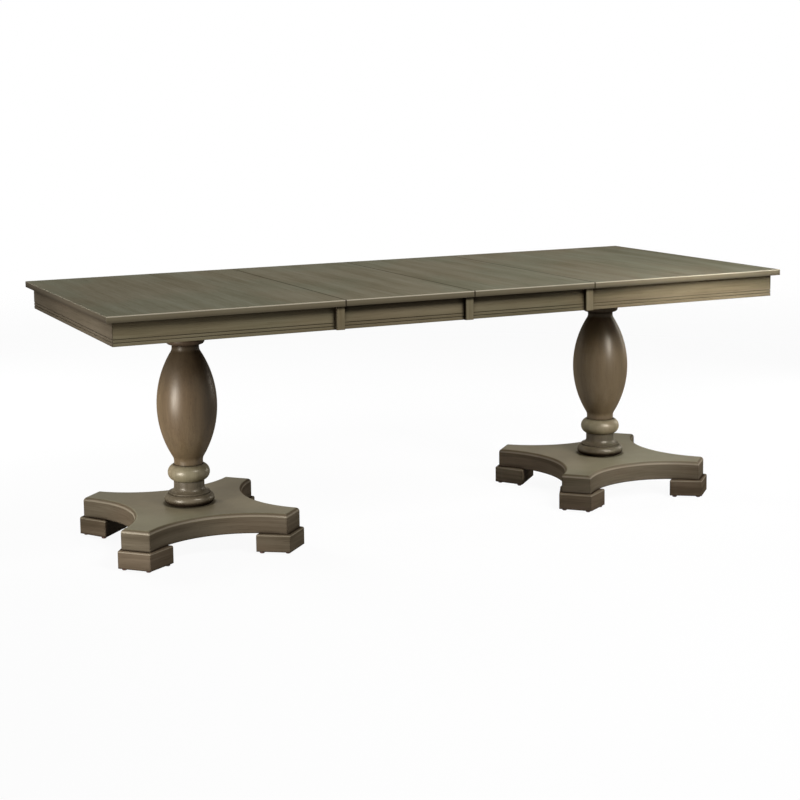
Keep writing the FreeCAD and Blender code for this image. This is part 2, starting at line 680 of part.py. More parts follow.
def centre_runner(face):
    """The tongued member between two runners, with a mortise for the pinion and a hole for its axle."""
    name = face + "_centre_blank"
    corners = [("-centre_half_width", "slide_clearance"), ("centre_half_width", "slide_clearance"),
               ("centre_half_width", "tongue_bottom"), ("tongue_reach", "tongue_bottom"),
               ("tongue_reach", "tongue_top"), ("centre_half_width", "tongue_top"),
               ("centre_half_width", "centre_top"), ("-centre_half_width", "centre_top"),
               ("-centre_half_width", "tongue_top"), ("-tongue_reach", "tongue_top"),
               ("-tongue_reach", "tongue_bottom"), ("-centre_half_width", "tongue_bottom")]
    body = padded_body(name, "YZ_Plane", corners, "centre_runner_length")
    middle = "%d * slide_offset" % FACES[face]
    place(body, "-centre_runner_length / 2", middle, "runner_bottom")
    reach = "(gear_pitch_radius + gear_module + mortise_margin)"
    mortise = block(face + "_mortise", "2 * " + reach, "2 * tongue_reach", "groove_height", "-" + reach,
                    middle + " - tongue_reach", "runner_bottom + groove_bottom")
    bore = cylinder(face + "_axle_bore", "axle_diameter / 2", "runner_height", "0", middle, "runner_bottom")
    return cut(face + "_centre", body, joined(face + "_centre_holes", [mortise, bore]))


# Pedestals


def in_pedestal(side, thing, level, turn=0):
    return place(thing, "%d * pedestal_x" % SIDES[side], "0", level, turn)


def collar(side):
    corners = [("rod_hole_radius", "0"), ("collar_seat", "0"), ("collar_bead_reach", "collar_bead_radius"),
               ("collar_seat", "collar_bead_top"), ("collar_seat", "collar_fillet_top"),
               ("collar_cove_reach", "collar_cove_top"), ("collar_drum_reach", "collar_cove_top"),
               ("collar_drum_reach", "collar_height"), ("rod_hole_radius", "collar_height")]
    arcs = {1: ("collar_bead_radius", 1), 2: ("collar_bead_radius", 1), 4: ("collar_cove", -1)}
    return in_pedestal(side, turned_body(side + "_collar_turning", corners, arcs), "collar_bottom")


def vase(side):
    corners = [("rod_hole_radius", "0"), ("lower_neck_radius", "0"), ("lower_neck_radius", "lower_neck_length"),
               ("lower_join_reach", "lower_join_level"), ("upper_join_reach", "upper_join_level"),
               ("upper_neck_radius", "upper_neck_level"), ("upper_neck_radius", "vase_height"),
               ("rod_hole_radius", "vase_height")]
    arcs = {2: ("lower_neck_cove", -1), 3: ("belly_curve", 1), 4: ("upper_neck_cove", -1)}
    return in_pedestal(side, turned_body(side + "_vase_turning", corners, arcs), "vase_bottom")


def ring(side):
    corners = [("rod_hole_radius", "0"), ("ring_seat_radius", "0"), ("ring_seat_radius", "ring_height"),
               ("rod_hole_radius", "ring_height")]
    return in_pedestal(side, turned_body(side + "_ring_turning", corners, {1: ("ring_curve", 1)}), "ring_bottom")


def column_base(side):
    corners = [("rod_hole_radius", "0"), ("base_bead_seat", "0"), ("base_bead_reach", "base_bead_radius"),
               ("base_bead_seat", "base_bead_top"), ("base_fillet_reach", "base_bead_top"),
               ("base_fillet_reach", "base_fillet_top"), ("spool_radius", "base_cove_top"),
               ("spool_radius", "column_base_height"), ("rod_hole_radius", "column_base_height")]
    arcs = {1: ("base_bead_radius", 1), 2: ("base_bead_radius", 1), 5: ("base_cove", -1)}
    return in_pedestal(side, turned_body(side + "_column_base_turning", corners, arcs), "base_top")


def foot_places():
    """Where the two screws of each foot stand, from the column's axis."""
    outer = size("arm_reach") - size("foot_screw_setback")
    reaches = (outer, outer - size("foot_screw_spacing"))
    angles = [math.radians(45 + 90 * quarter) for quarter in range(4)]
    return [(reach * math.cos(angle), reach * math.sin(angle)) for angle in angles for reach in reaches]


def base_plate(side, foot_holes):
    """The four-armed base with hollow sides, a rounded upper edge and a pocket for the rod's lower nut."""
    corners = [("-arm_near", "-arm_far"), ("arm_near", "-arm_far"), ("arm_far", "-arm_near"),
               ("arm_far", "arm_near"), ("arm_near", "arm_far"), ("-arm_near", "arm_far"),
               ("-arm_far", "arm_near"), ("-arm_far", "-arm_near")]
    arcs = {corner: ("bay_radius", -1) for corner in (0, 2, 4, 6)}
    body = padded_body(side + "_base_blank", "XY_Plane", corners, "base_thickness", arcs)
    top = size("base_thickness")
    ease_edges(body, "Fillet", "arm_corner_radius", lambda middle: abs(middle.z - top / 2) < NEAR)
    ease_edges(body, "Fillet", "base_rounding", lambda middle: abs(middle.z - top) < NEAR)
    in_pedestal(side, body, "base_bottom")
    x = "%d * pedestal_x" % SIDES[side]
    bore = cylinder(side + "_base_bore", "rod_hole_radius", "base_thickness", x, "0", "base_bottom")
    pocket = cylinder(side + "_base_pocket", "pocket_radius", "pocket_depth", x, "0", "base_bottom")
    rod_hole = joined(side + "_base_rod_hole", [bore, pocket])
    return cut(side + "_base", body, group(side + "_base_holes", [rod_hole, foot_holes]))


def feet(side, holes):
    """Four foot blocks under the ends of the arms, wider inwards as the arms are, with rounded upper edges."""
    blocks = []
    for quarter in range(4):
        corners = [("foot_inner", "-foot_inner_half"), ("foot_reach", "-foot_outer_half"),
                   ("foot_reach", "foot_outer_half"), ("foot_inner", "foot_inner_half")]
        body = padded_body("%s_foot_%d" % (side, quarter), "XY_Plane", corners, "foot_height")
        top = size("foot_height")
        ease_edges(body, "Fillet", "foot_corner_radius", lambda middle: abs(middle.z - top / 2) < NEAR)
        ease_edges(body, "Fillet", "foot_rounding", lambda middle: abs(middle.z - top) < NEAR)
        blocks.append(in_pedestal(side, body, "glide_height", 45 + 90 * quarter))
    return cut(side + "_feet_cut", group(side + "_foot_blocks", blocks), holes)


def glide_places(side):
    """Where the glides stand: near the four corners of each foot."""
    inset = size("glide_inset")
    rows = ((size("foot_inner") + inset, size("foot_inner_half") - inset),
            (size("foot_reach") - inset, size("foot_outer_half") - inset))
    axis = Vector(SIDES[side] * size("pedestal_x"), 0, 0)
    spots = []
    for quarter in range(4):
        turn = Rotation(UP, 45 + 90 * quarter)
        for reach, across in rows:
            spots += [axis + turn.multVec(Vector(reach, offset, 0)) for offset in (-across, across)]
    return spots


def glide_shape(spot):
    """A nail glide: a flat button with a bevelled lower edge, and the nail that holds it in the foot."""
    radius, easing = size("glide_diameter") / 2, size("glide_easing")
    height = size("glide_height")
    bevel = Part.makeCone(radius - easing, radius, easing, Vector(spot.x, spot.y, 0), UP)
    button = upright(radius, spot.x, spot.y, easing, height)
    nail = upright(size("nail_diameter") / 2, spot.x, spot.y, height, height + size("nail_length"))
    return bevel.fuse(button).fuse(nail).removeSplitter()


def nail_holes(side):
    low = size("glide_height")
    radius = size("nail_diameter") / 2
    return [upright(radius, spot.x, spot.y, low, low + size("nail_length")) for spot in glide_places(side)]


def tie_nuts(side):
    """A nut and washer at each end of the threaded rod."""
    x = "%d * pedestal_x" % SIDES[side]
    pieces = []
    for end, washer_level, nut_level in (
            ("lower", "base_bottom + nut_pocket_cover + nut_height", "base_bottom + nut_pocket_cover"),
            ("upper", "runner_bottom - pocket_depth", "runner_bottom - nut_pocket_cover - nut_height")):
        name = "%s_%s" % (side, end)
        disc = cylinder(name + "_disc", "washer_diameter / 2", "washer_thickness", x, "0", washer_level)
        hole = cylinder(name + "_disc_hole", "rod_diameter / 2", "washer_thickness", x, "0", washer_level)
        hexagon = doc.addObject("Part::Prism", name + "_hexagon")
        hexagon.Polygon = 6
        bind(hexagon, Circumradius="nut_across_flats / sqrt(3)", Height="nut_height")
        place(hexagon, x, "0", nut_level)
        thread = cylinder(name + "_thread", "rod_diameter / 2", "nut_height", x, "0", nut_level)
        pieces += [cut(name + "_washer", disc, hole), cut(name + "_nut", hexagon, thread)]
    return group(side + "_nuts", pieces)


def mounting_plate(side, plate_holes):
    corners = [("-mounting_half_length", "-mounting_half_width"), ("mounting_half_length", "-mounting_half_width"),
               ("mounting_half_length", "mounting_half_width"), ("-mounting_half_length", "mounting_half_width")]
    body = padded_body(side + "_mounting_blank", "XY_Plane", corners, "mounting_thickness")
    ease_edges(body, "Chamfer", "mounting_easing", lambda middle: abs(middle.z) < NEAR)
    in_pedestal(side, body, "mounting_bottom")
    x = "%d * pedestal_x" % SIDES[side]
    bore = cylinder(side + "_mounting_bore", "rod_hole_radius", "mounting_thickness", x, "0", "mounting_bottom")
    pocket = cylinder(side + "_mounting_pocket", "pocket_radius", "pocket_depth", x, "0",
                      "runner_bottom - pocket_depth")
    rod_hole = joined(side + "_mounting_rod_hole", [bore, pocket])
    return cut(side + "_mounting", body, group(side + "_mounting_holes", [rod_hole, plate_holes]))


def half_screw_places(side):
    """Places of a half's screws: runner screws, mounting board screws and foot screws."""
    x_middle = SIDES[side] * size("pedestal_x")
    plate_reach = size("mounting_half_length") - size("plate_screw_setback")
    runner_reach = size("mounting_half_length") + size("runner_screw_setout")
    rows = [sign * (size("slide_offset") + lane(side) * size("screw_line")) for sign in FACES.values()]
    runner_spots = [(x_middle + end * runner_reach, y) for y in rows for end in (-1, 1)]
    plate_spots = [(x_middle + end * plate_reach, y) for y in rows for end in (-1, 1)]
    foot_spots = [(x_middle + x, y) for x, y in foot_places()]
    return runner_spots, plate_spots, foot_spots


def build_half(side):
    """One half of the table with its pedestal."""
    sign = SIDES[side]
    runner_spots, plate_spots, foot_spots = half_screw_places(side)
    runner_level = size("table_height") - size("screw_cover") - size("screw_length")
    plate_level = size("mounting_bottom") + size("plate_screw_recess")
    foot_level = size("base_bottom") + size("foot_screw_bite") - size("screw_length")
    all_screws = [screw(x, y, level) for spots, level in (
        (runner_spots, runner_level), (plate_spots, plate_level), (foot_spots, foot_level)) for x, y in spots]
    runner_holes = [screw_hole(x, y, runner_level, size("runner_bottom")) for x, y in runner_spots]
    plate_holes = [screw_hole(x, y, plate_level, size("mounting_bottom")) for x, y in plate_spots]
    foot_holes = [screw_hole(x, y, foot_level, size("glide_height")) for x, y in foot_spots]
    runner_tool = shaped(side + "_runner_holes", runner_holes + plate_holes)
    top_tool = group(side + "_top_holes", [half_pin_holes(side), shaped(side + "_top_screw_holes", runner_holes)])
    plate_tool = shaped(side + "_plate_holes", plate_holes)
    base_tool = shaped(side + "_base_screw_holes", foot_holes)
    foot_tool = shaped(side + "_foot_holes", foot_holes + nail_holes(side))

    outer, inner = ("-table_reach", "-half_inner") if sign < 0 else ("table_reach", "half_inner")
    low, high = (outer, inner) if sign < 0 else (inner, outer)
    top = panel(side + "_panel", low, high, "top_bottom", "top_thickness", outer)
    node(side + "_top", cut(side + "_top_cut", top, top_tool))

    end_rail = rail(side + "_end_board", "end_rail_length", "rail_height", True, True, "end_rail_inset")
    place(end_rail, "%d * apron_reach" % sign, "%d * -apron_half_width" % sign, "rail_bottom", 90 * sign)
    node(side + "_end_rail", end_rail)
    for face, y_sign in FACES.items():
        # A board starts at its left end, seen from outside; the outer corner is mitred
        starts_at_corner = sign * y_sign > 0
        board = rail("%s_%s_board" % (side, face), "half_rail_length", "rail_height",
                     starts_at_corner, not starts_at_corner, "half_rail_inset")
        start = "apron_reach" if starts_at_corner else "half_inner"
        place(board, "%d * %s" % (sign, start), "%d * apron_half_width" % y_sign, "rail_bottom",
              0 if y_sign < 0 else 180)
        node("%s_%s_rail" % (side, face), board)
    if side == "left":
        node("left_joint_strips", joint_strips("left_strips", "-half_inner", "rail_height"))

    corner_blocks = []
    for face, y_sign in FACES.items():
        corners = [("0", "0"), ("corner_block_leg", "0"), ("0", "corner_block_leg")]
        brace = padded_body("%s_%s_brace" % (side, face), "XY_Plane", corners, "corner_block_height")
        turn = {(-1, -1): 0, (1, -1): 90, (1, 1): 180, (-1, 1): 270}[sign, y_sign]
        place(brace, "%d * (apron_reach - rail_thickness)" % sign,
              "%d * (apron_half_width - rail_thickness)" % y_sign, "top_bottom - corner_block_height", turn)
        corner_blocks.append(brace)
    node(side + "_corner_blocks", group(side + "_braces", corner_blocks))
    ends = ("-apron_reach", "-half_inner") if sign < 0 else ("half_inner", "apron_reach")
    node(side + "_glue_blocks", glue_blocks(side + "_blocks", *ends, "top_bottom"))

    for face in FACES:
        blank = runner(side, face)
        node("%s_%s_runner" % (side, face), cut("%s_%s_runner_cut" % (side, face), blank, runner_tool))
    node(side + "_racks", shaped(side + "_rack_bars", [rack_shape(side, face) for face in FACES]))
    node(side + "_alignment_pins", alignment_pins(side))

    node(side + "_mounting_plate", mounting_plate(side, plate_tool))
    node(side + "_collar", collar(side))
    node(side + "_vase", vase(side))
    node(side + "_ring", ring(side))
    node(side + "_column_base", column_base(side))
    node(side + "_base_plate", base_plate(side, base_tool))
    node(side + "_feet", feet(side, foot_tool))
    node(side + "_glides", shaped(side + "_glide_set", [glide_shape(spot) for spot in glide_places(side)]))
    node(side + "_tie_rod", cylinder(side + "_rod", "rod_diameter / 2", "rod_top - rod_bottom",
                                     "%d * pedestal_x" % sign, "0", "rod_bottom"))
    node(side + "_tie_nuts", tie_nuts(side))
    node(side + "_screws", shaped(side + "_screw_set", all_screws))


def build_leaf(leaf, side):
    """A loose leaf beside one of the halves."""
    low, high = ("-leaf_outer", "-leaf_inner") if side == "left" else ("leaf_inner", "leaf_outer")
    board = panel(leaf + "_panel", low, high, "leaf_bottom", "leaf_thickness")
    node(leaf + "_top", cut(leaf + "_top_cut", board, leaf_pin_slots(leaf, side)))
    for face, y_sign in FACES.items():
        apron = rail("%s_%s_board" % (leaf, face), "leaf_panel_length", "leaf_rail_height")
        place(apron, low if y_sign < 0 else high, "%d * apron_half_width" % y_sign, "rail_bottom",
              0 if y_sign < 0 else 180)
        node("%s_%s_rail" % (leaf, face), apron)
    node(leaf + "_joint_strips", joint_strips(leaf + "_strips", high, "leaf_rail_height"))
    node(leaf + "_glue_blocks", glue_blocks(leaf + "_blocks", low, high, "leaf_bottom"))


def build_slides():
    """The centre runners with their pinions and axles."""
    axles = []
    for face, sign in FACES.items():
        node(face + "_centre_runner", centre_runner(face))
        node(face + "_pinion", shaped(face + "_gear", [pinion_shape(face)]))
        axles.append(cylinder(face + "_axle", "axle_diameter / 2", "centre_top - slide_clearance", "0",
                              "%d * slide_offset" % sign, "runner_bottom + slide_clearance"))
    node("pinion_axles", group("axles", axles))


for half in SIDES:
    build_half(half)
build_leaf("leaf_a", "left")
build_leaf("leaf_b", "right")
build_slides()
doc.recompute()

for thing in doc.Objects:
    if "Invalid" in thing.State or "Error" in thing.State:
        raise RuntimeError("%s failed: %s" % (thing.Label, thing.State))
for piece in nodes:
    if piece.Shape.isNull() or not piece.Shape.isValid() or not piece.Shape.Solids:
        raise RuntimeError("%s has no sound shape" % piece.Label)

os.makedirs("parts", exist_ok=True)
for piece in nodes:
    piece.Shape.exportStep("parts/%s.step" % piece.Label)
print("%d sub-parts, %.1f mm high" % (len(nodes), size("table_height")))
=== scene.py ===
"""Looks for the extending dining table: stained wood finishes, camera, floor and studio light.

Metres, in the table's own frame: X along the table (left is -X), Y from front to back, Z up.
"""
import bpy
import math
from mathutils import Matrix, Vector

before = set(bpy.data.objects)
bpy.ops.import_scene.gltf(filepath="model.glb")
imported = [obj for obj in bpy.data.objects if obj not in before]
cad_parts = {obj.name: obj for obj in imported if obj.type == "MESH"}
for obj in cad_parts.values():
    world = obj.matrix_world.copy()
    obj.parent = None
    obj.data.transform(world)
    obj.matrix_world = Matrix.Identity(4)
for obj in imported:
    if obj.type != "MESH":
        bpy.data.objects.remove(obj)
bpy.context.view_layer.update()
scene = bpy.context.scene

# Wood colours, linear: dark, middle and light
VENEER = ((0.126, 0.113, 0.074, 1), (0.162, 0.149, 0.104, 1), (0.190, 0.179, 0.131, 1))
APRON = ((0.108, 0.085, 0.048, 1), (0.165, 0.137, 0.083, 1), (0.220, 0.187, 0.119, 1))
# The end apron's colour is a darker copy of the apron wood: painted shade on the table's ends
END_APRON_SHADED = ((0.084, 0.064, 0.042, 1), (0.121, 0.094, 0.065, 1), (0.160, 0.126, 0.090, 1))
TURNED = ((0.076, 0.050, 0.026, 1), (0.118, 0.080, 0.043, 1), (0.158, 0.112, 0.064, 1))
# The collar's colour is a darker copy of the turned wood: painted shade under the table's top
COLLAR_SHADED = ((0.043, 0.028, 0.017, 1), (0.066, 0.045, 0.028, 1), (0.090, 0.064, 0.041, 1))
# The ring's colour is a lighter copy of the turned wood: part wear, part painted highlight
RING_WORN_AND_LIT = ((0.110, 0.088, 0.051, 1), (0.171, 0.141, 0.087, 1), (0.222, 0.187, 0.120, 1))
PLINTH = ((0.058, 0.047, 0.029, 1), (0.088, 0.073, 0.048, 1), (0.118, 0.099, 0.068, 1))
BASE = ((0.059, 0.044, 0.027, 1), (0.092, 0.070, 0.046, 1), (0.125, 0.098, 0.067, 1))
# The base's upward faces are lighter and greyer than its sides: part wood colour, part painted sheen
BASE_TOP_AND_SHEEN = ((0.103, 0.089, 0.056, 1), (0.139, 0.122, 0.079, 1), (0.172, 0.154, 0.104, 1))
BARE = ((0.260, 0.165, 0.085, 1), (0.400, 0.275, 0.155, 1), (0.520, 0.385, 0.235, 1))

# Single colours, linear
# The dark colour below darkens pores, joints and edges as glazing, and is painted shade in hollows, under
# the top's edge and high on the vase
GLAZE_AND_SHADE = (0.016, 0.010, 0.006, 1)
SEAM_GLAZE = (0.020, 0.013, 0.008, 1)
# The pale colour below lightens upper edges and round-overs: part wear, part painted highlight
RUBBED_AND_HIGHLIGHT = (0.420, 0.365, 0.270, 1)
# The pale arris colour is part wear, part painted highlight
ARRIS = (0.450, 0.400, 0.305, 1)
LONG_EDGE = (0.158, 0.130, 0.082, 1)
# The darker edge colour for the top's ends is painted shade
END_EDGE_SHADED = (0.104, 0.080, 0.056, 1)
LACQUER = (1.0, 0.92, 0.80, 1)
WHITE = (1, 1, 1, 1)

# Tints of the stain's cooler and warmer patches
COOL_TINT = (0.975, 1.010, 1.005, 1)
WARM_TINT = (1.025, 0.990, 0.975, 1)

# Layers of grain: stretch along and across the fibres, noise scale, detail, roughness and distortion
BROAD = (0.45, 6.0, 3.0, 3.0, 0.55, 0.3)
STREAKS = (1.2, 32.0, 3.0, 4.0, 0.6, 0.0)
FIBRES = (3.0, 120.0, 3.0, 5.0, 0.62, 0.0)
MOTTLE = (0.6, 1.0, 5.0, 3.0, 0.5, 0.0)
PORES = (16.0, 620.0, 1.0, 2.0, 0.5, 0.0)
PATCHES = (0.5, 1.1, 4.5, 2.0, 0.5, 0.0)
BARE_BROAD = (0.8, 14.0, 3.0, 4.0, 0.6, 0.6)
BARE_FIBRES = (4.0, 160.0, 3.0, 4.0, 0.6, 0.0)

# Shares of the layers in the grain, and how far each wood's seed moves its texture along X, Y and Z
BROAD_SHARE = 0.42
STREAK_SHARE = 0.25
FIBRE_SHARE = 0.15
MOTTLE_SHARE = 0.18
BARE_BROAD_SHARE = 0.65
BARE_FIBRE_SHARE = 0.35
STAINED_SHIFT = (1.7, 2.3, 3.1)
BARE_SHIFT = (1.3, 2.1, 0.7)

# Ranges of the grain's and the noises' values over which a colour or mask changes
GRAIN_MIDDLE = 0.5
GRAIN_SPREAD = 0.16
BARE_RANGE = (0.3, 0.7)
PATCH_RANGE = (0.40, 0.60)
PORE_RANGE = (0.60, 0.74)
WORN_RANGE = (0.30, 0.60)
FIBRE_RANGE = (0.2, 0.8)
SPECKLE_RANGE = (0.3, 0.7)

# Ranges of the normal's Z part, or of its X part for the end, over which a kind of face begins
TOP_FACE = (0.80, 0.98)
GLOSSY_FACE = (0.90, 0.99)
SIDE_FACE = (0.6, 0.2)
END_FACE = (0.5, 0.8)
ARRIS_FACE = (0.985, 0.93)
ROUNDING_START = (0.03, 0.15)
ROUNDING_END = (0.65, 0.30)
UNDERSIDE = (-0.7, -0.9)

# Shares of dark glazing, of painted shade and highlight, and of wear where their masks are full or least
PORE_GLAZE = 0.35
SHADE_ABOVE_SHARE = 0.62
BAND_SHARE = 0.8
LOW_HALF_SHADE = 0.55
END_ARRIS_SHARE = 0.15
BEAD_GLAZE_AND_SHADE = 0.45
LEAST_WEAR = 0.45
SEAM_SHARE = 0.85
BARE_CREVICE_SHADE = 0.5
BARE_SHADE_REACH = 0.012

# Masks of hollows and edges
CREVICE_SAMPLES = 8
CREVICE_RANGE = (0.50, 0.95)
EDGE_SAMPLES = 6
EDGE_RANGE = (0.995, 0.94)
UPPER_EDGE_RISE = (0.08, 0.25)

# Gloss and relief
STAIN_ROUGHNESS = 0.6
SHEEN_BELOW = 0.05
SHEEN_ABOVE = 0.07
RIM_BLEND = 0.5
RIM_RANGE = (0.75, 1.0)
# Lacquer kept high on the vase and in hollows: painted shade on the sheen
SHADED_GLOSS = 0.2
CREVICE_GLOSS = 0.12
FIBRE_RELIEF = 0.5
STAINED_BUMP = 0.10
BARE_BUMP = 0.2
WOOD_RELIEF_DEPTH = 0.0005
BARE_ROUGHNESS = (0.55, 0.72)
SPECKLE_BUMP = 0.15
SPECKLE_DEPTH = 0.0001
SPECKLE_DETAIL = 4.0
SPECKLE_NOISE_ROUGHNESS = 0.6
SPECKLE_GLOSS_SPREAD = 0.06

# The top's height, the heights on its edge, and its seams along the table with the width of their arrises
TOP_HEIGHT = 0.7649
LOW_HALF = (TOP_HEIGHT - 0.017, TOP_HEIGHT - 0.007)
ARRIS_RISE = (TOP_HEIGHT - 0.0036, TOP_HEIGHT - 0.0022)
SEAMS = (-0.4064, 0.0, 0.4064)
SEAM_ARRIS = (0.0013, 0.0032)

# Places of the colour sockets on a mix node
MIX_SHARE = 0
MIX_FIRST = 6
MIX_SECOND = 7
MIX_RESULT = 2


# Shader graphs


def new_graph(name):
    """An empty material and its node tree."""
    material = bpy.data.materials.new(name)
    material.use_nodes = True
    material.node_tree.nodes.clear()
    return material, material.node_tree


def add(tree, kind, inputs=None, **settings):
    """A node with its inputs set to values or linked to sockets."""
    node = tree.nodes.new(kind)
    for name, value in settings.items():
        setattr(node, name, value)
    for name, value in (inputs or {}).items():
        socket = node.inputs[name]
        if isinstance(value, bpy.types.NodeSocket):
            tree.links.new(value, socket)
        else:
            socket.default_value = value
    return node


def math_node(tree, operation, first, second=0.0):
    node = add(tree, "ShaderNodeMath", {0: first, 1: second}, operation=operation)
    return node.outputs[0]


def times(tree, first, second):
    return math_node(tree, "MULTIPLY", first, second)


def size_of(tree, value):
    """A value without its sign."""
    return math_node(tree, "ABSOLUTE", value)


def weighted(tree, *terms):
    """The sum of values, each times its weight."""
    total = None
    for value, weight in terms:
        term = times(tree, value, weight)
        total = term if total is None else math_node(tree, "ADD", total, term)
    return total


def ramp_value(tree, value, low, high, out_low=0.0, out_high=1.0):
    """A value moved from one range to another with soft ends."""
    node = add(tree, "ShaderNodeMapRange", {"Value": value, "From Min": low, "From Max": high,
                                            "To Min": out_low, "To Max": out_high},
               interpolation_type="SMOOTHSTEP")
    return node.outputs["Result"]


def mix_colour(tree, share, first, second, blend="MIX"):
    node = add(tree, "ShaderNodeMix", {MIX_SHARE: share, MIX_FIRST: first, MIX_SECOND: second},
               data_type="RGBA", blend_type=blend)
    return node.outputs[MIX_RESULT]


def object_coordinates(tree):
    return add(tree, "ShaderNodeTexCoord").outputs["Object"]


def part_of(tree, vector, axis):
    """One coordinate of a vector."""
    return add(tree, "ShaderNodeSeparateXYZ", {0: vector}).outputs[axis]


def surface_normal(tree):
    return add(tree, "ShaderNodeNewGeometry").outputs["Normal"]


def noise(tree, vector, scale, detail, roughness, distortion=0.0):
    node = add(tree, "ShaderNodeTexNoise", {"Vector": vector, "Scale": scale, "Detail": detail,
                                            "Roughness": roughness, "Distortion": distortion})
    return node.outputs["Fac"]


def grain_layer(tree, place, axis, shift, layer):
    """Noise that is stretched along one axis, or along two for layered boards."""
    along, across, *settings = layer
    stretch = tuple(along if letter in axis else across for letter in "XYZ")
    stretched = add(tree, "ShaderNodeMapping", {"Vector": place, "Scale": stretch, "Location": shift})
    return noise(tree, stretched.outputs[0], *settings)


def three_colours(tree, value, colours, low, high):
    """Dark, middle and light colours spread evenly from a low value to a high one."""
    dark, middle, light = colours
    ramp = add(tree, "ShaderNodeValToRGB", {"Fac": value})
    stops = ramp.color_ramp.elements
    stops[0].position = low
    stops[0].color = dark
    stops[1].position = high
    stops[1].color = light
    stops.new((low + high) / 2).color = middle
    return ramp.outputs["Color"]


def bumped(tree, height, strength, depth):
    """The surface's normal, roughened by a height."""
    node = add(tree, "ShaderNodeBump", {"Height": height, "Strength": strength, "Distance": depth})
    return node.outputs["Normal"]


def crevice_mask(tree, distance):
    """1 deep in hollows and joints, 0 in the open."""
    shade = add(tree, "ShaderNodeAmbientOcclusion", {"Distance": distance}, samples=CREVICE_SAMPLES)
    return ramp_value(tree, shade.outputs["AO"], *CREVICE_RANGE, 1.0, 0.0)


def edge_masks(tree, radius):
    """Two values that are 1 along edges and 0 on flat faces: one for upper edges, one for the others."""
    rounded = add(tree, "ShaderNodeBevel", {"Radius": radius}, samples=EDGE_SAMPLES).outputs["Normal"]
    along = add(tree, "ShaderNodeVectorMath", {0: rounded, 1: surface_normal(tree)}, operation="DOT_PRODUCT")
    edge = ramp_value(tree, along.outputs["Value"], *EDGE_RANGE)
    upper = times(tree, edge, ramp_value(tree, part_of(tree, rounded, "Z"), *UPPER_EDGE_RISE))
    return upper, math_node(tree, "SUBTRACT", edge, upper)


def seam_mask(tree, place):
    """1 on the eased arrises beside the seams of the top, 0 elsewhere."""
    along_table = part_of(tree, place, "X")
    nearest = None
    for seam in SEAMS:
        distance = size_of(tree, math_node(tree, "SUBTRACT", along_table, seam))
        nearest = distance if nearest is None else math_node(tree, "MINIMUM", nearest, distance)
    return ramp_value(tree, nearest, *SEAM_ARRIS, 1.0, 0.0)


def panel_edges(tree, colour, height, normal_x, normal_z):
    """A top panel's edges: a band whose lower half is darkened with painted shade, and a pale line along the
    upper arris that is part wear and part painted highlight.
    """
    band = times(tree, ramp_value(tree, size_of(tree, normal_z), *SIDE_FACE), BAND_SHARE)
    at_end = ramp_value(tree, size_of(tree, normal_x), *END_FACE)
    # Painted shade: the ends take the darker edge colour
    colour = mix_colour(tree, band, colour, mix_colour(tree, at_end, LONG_EDGE, END_EDGE_SHADED))
    # Painted shade on the lower half of the edge band
    low_half = ramp_value(tree, height, *LOW_HALF, LOW_HALF_SHADE, 0.0)
    colour = mix_colour(tree, times(tree, band, low_half), colour, GLAZE_AND_SHADE)
    # Pale line on the upper arris: part wear, part painted highlight, weaker on the ends
    arris = times(tree, ramp_value(tree, height, *ARRIS_RISE), ramp_value(tree, normal_z, *ARRIS_FACE))
    arris = times(tree, arris, ramp_value(tree, at_end, 0.0, 1.0, 1.0, END_ARRIS_SHARE))
    return mix_colour(tree, arris, colour, ARRIS)


def gloss_share(tree, gloss, gloss_up, rim, sheen_shaded_above, height, normal_z, crevice):
    """The lacquer's share: more on upward faces or towards the rim; less high up and in hollows, which is
    painted shade on the sheen.
    """
    share = gloss
    if gloss_up:
        share = ramp_value(tree, normal_z, *GLOSSY_FACE, gloss, gloss_up)
    if rim:
        facing = add(tree, "ShaderNodeLayerWeight", {"Blend": RIM_BLEND}).outputs["Facing"]
        share = ramp_value(tree, facing, *RIM_RANGE, gloss, rim)
    if sheen_shaded_above:
        share = times(tree, share, ramp_value(tree, height, *sheen_shaded_above, 1.0, SHADED_GLOSS))
    return times(tree, share, ramp_value(tree, crevice, 0.0, 1.0, 1.0, CREVICE_GLOSS))


